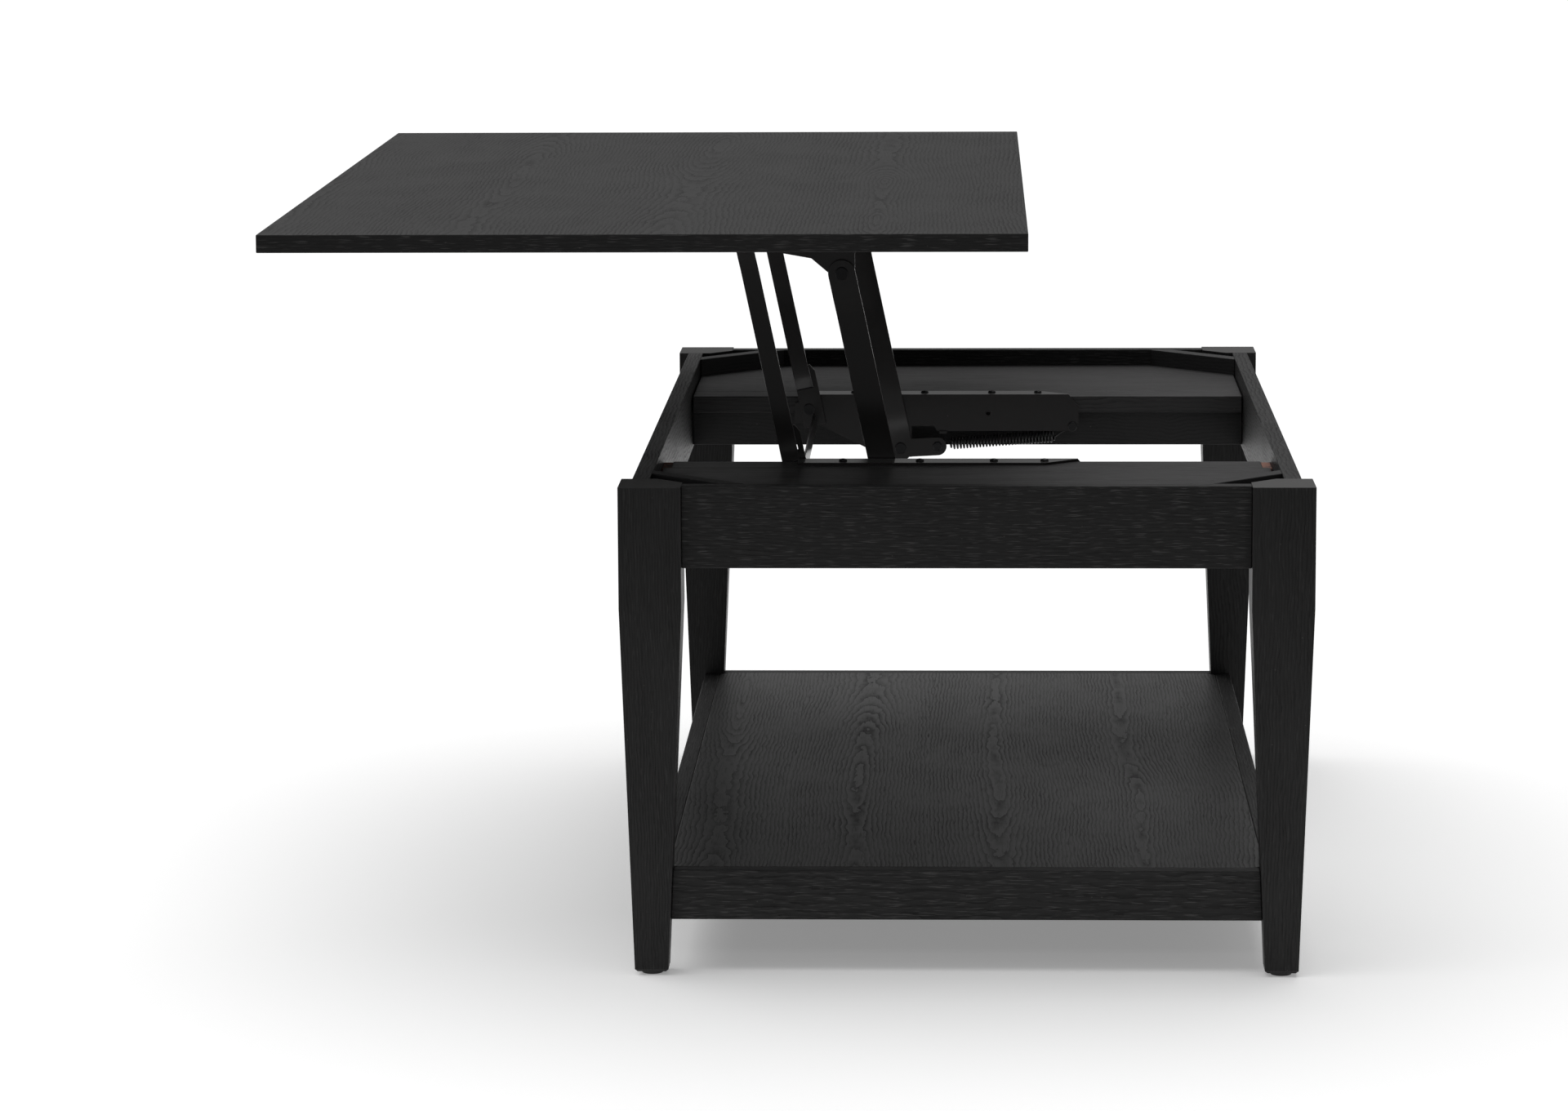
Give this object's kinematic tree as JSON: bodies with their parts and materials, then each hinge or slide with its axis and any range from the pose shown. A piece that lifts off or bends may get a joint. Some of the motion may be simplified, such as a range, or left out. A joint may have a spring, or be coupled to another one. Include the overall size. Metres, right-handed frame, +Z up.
{
  "type": "lift top coffee table",
  "caption": "Coffee table with a top that lifts up and forward on spring linkages, end platforms inside the frame, a lower shelf and tapered legs.",
  "frame": {"origin": "on the floor, at the middle of the box round the table with its top raised", "axes": "+Z up, +Y along the table's length, -X the way the top moves as it lifts"},
  "size_m": [0.98, 1.219, 0.7129],
  "materials": {
    "stained_veneer": "black open-pore stain over oak veneer, satin lacquer",
    "painted_wood": "black stained solid wood, dull",
    "raw_wood": "unstained reddish hardwood, sawn",
    "black_fasteners": "black oxide steel",
    "zinc_steel": "bright zinc plate",
    "spring_steel": "oiled black spring wire",
    "glide_plastic": "black moulded nylon",
    "painted_steel": "gloss black paint on pressed steel"
  },
  "bodies": {
    "base": {"leg_near_left": "stained_veneer", "leg_near_right": "stained_veneer", "leg_far_left": "stained_veneer", "leg_far_right": "stained_veneer", "end_apron_near": "stained_veneer", "end_apron_far": "stained_veneer", "side_apron_left": "stained_veneer", "side_apron_right": "stained_veneer", "corner_brace_near_left": "painted_wood", "corner_brace_near_right": "painted_wood", "corner_brace_far_left": "painted_wood", "corner_brace_far_right": "painted_wood", "hanger_bolts": "black_fasteners", "platform_near": "stained_veneer", "platform_nosing_near": "stained_veneer", "platform_rail_near": "painted_wood", "platform_cleat_near": "painted_wood", "platform_far": "stained_veneer", "platform_nosing_far": "stained_veneer", "platform_rail_far": "painted_wood", "platform_cleat_far": "painted_wood", "nosing_fillers": "raw_wood", "shelf_end_rail_near": "stained_veneer", "shelf_end_rail_far": "stained_veneer", "shelf_side_rail_left": "stained_veneer", "shelf_side_rail_right": "stained_veneer", "shelf_panel": "stained_veneer", "leg_inserts": "zinc_steel", "base_plate_near": "painted_steel", "base_plate_far": "painted_steel", "platform_screws": "black_fasteners", "wide_arm_rivets": "painted_steel", "narrow_arm_bolts": "black_fasteners", "spring_anchors": "painted_steel"},
    "wide_arm_near": {"wide_arm_near": "painted_steel", "lever_bolt_near": "painted_steel"},
    "wide_arm_far": {"wide_arm_far": "painted_steel", "lever_bolt_far": "painted_steel"},
    "narrow_arms": {"narrow_arm_near": "painted_steel", "narrow_arm_far": "painted_steel", "cross_tie": "painted_steel"},
    "top": {"top_panel": "stained_veneer", "top_bracket_near": "painted_steel", "top_bracket_far": "painted_steel", "upper_pivot_rivets": "painted_steel", "top_screws": "black_fasteners"},
    "spring_near": {"spring_near": "spring_steel"},
    "spring_far": {"spring_far": "spring_steel"},
    "spring_hook_near": {"spring_hook_near": "spring_steel"},
    "spring_hook_far": {"spring_hook_far": "spring_steel"},
    "leveller_near_left": {"leveller_near_left": "glide_plastic"},
    "leveller_near_right": {"leveller_near_right": "glide_plastic"},
    "leveller_far_left": {"leveller_far_left": "glide_plastic"},
    "leveller_far_right": {"leveller_far_right": "glide_plastic"}
  },
  "joints": [
    {"name": "lift", "type": "hinge", "parent": "base", "child": "wide_arm_near", "pos_m": [0.092, -0.25, 0.3965], "axis": [0, 1, 0], "range_deg": [0, 97.8]},
    {"name": "far_lift", "type": "hinge", "parent": "base", "child": "wide_arm_far", "pos_m": [0.092, 0.25, 0.3965], "axis": [0, 1, 0], "range_deg": [0, 97.8]},
    {"name": "guide", "type": "hinge", "parent": "base", "child": "narrow_arms", "pos_m": [-0.0074, 0, 0.4393], "axis": [0, 1, 0], "range_deg": [0, 97.8]},
    {"name": "top_level", "type": "hinge", "parent": "wide_arm_near", "child": "top", "pos_m": [0.04086, -0.248, 0.63917], "axis": [0, 1, 0], "range_deg": [-97.8, 0]},
    {"name": "spring_swing_near", "type": "hinge", "parent": "wide_arm_near", "child": "spring_hook_near", "pos_m": [0.13195, -0.263, 0.39859], "axis": [0, 1, 0], "range_deg": [-107.96, 0]},
    {"name": "spring_stretch_near", "type": "slide", "parent": "spring_hook_near", "child": "spring_near", "axis": [0.9896, 0, 0.144], "range_m": [0, 0.05204], "deforming": ["spring_near", "spring_hook_near"]},
    {"name": "spring_swing_far", "type": "hinge", "parent": "wide_arm_far", "child": "spring_hook_far", "pos_m": [0.13195, 0.263, 0.39859], "axis": [0, 1, 0], "range_deg": [-107.96, 0]},
    {"name": "spring_stretch_far", "type": "slide", "parent": "spring_hook_far", "child": "spring_far", "axis": [0.9896, 0, 0.144], "range_m": [0, 0.05204], "deforming": ["spring_far", "spring_hook_far"]},
    {"name": "level_near_left", "type": "hinge", "parent": "base", "child": "leveller_near_left", "pos_m": [-0.1347, -0.5332, 0], "axis": [0, 0, 1], "continuous": true},
    {"name": "level_near_right", "type": "hinge", "parent": "base", "child": "leveller_near_right", "pos_m": [0.4627, -0.5332, 0], "axis": [0, 0, 1], "continuous": true},
    {"name": "level_far_left", "type": "hinge", "parent": "base", "child": "leveller_far_left", "pos_m": [-0.1347, 0.5332, 0], "axis": [0, 0, 1], "continuous": true},
    {"name": "level_far_right", "type": "hinge", "parent": "base", "child": "leveller_far_right", "pos_m": [0.4627, 0.5332, 0], "axis": [0, 0, 1], "continuous": true}
  ],
  "couplings": [
    {"joint": "far_lift", "follows": "lift", "ratio": 1},
    {"joint": "guide", "follows": "lift", "ratio": 1},
    {"joint": "top_level", "follows": "lift", "ratio": -1},
    {"joint": "spring_swing_near", "follows": "lift", "ratio": -1.1039},
    {"joint": "spring_stretch_near", "follows": "lift", "m_per_rad": 0.030474},
    {"joint": "spring_swing_far", "follows": "lift", "ratio": -1.1039},
    {"joint": "spring_stretch_far", "follows": "lift", "m_per_rad": 0.030474}
  ]
}
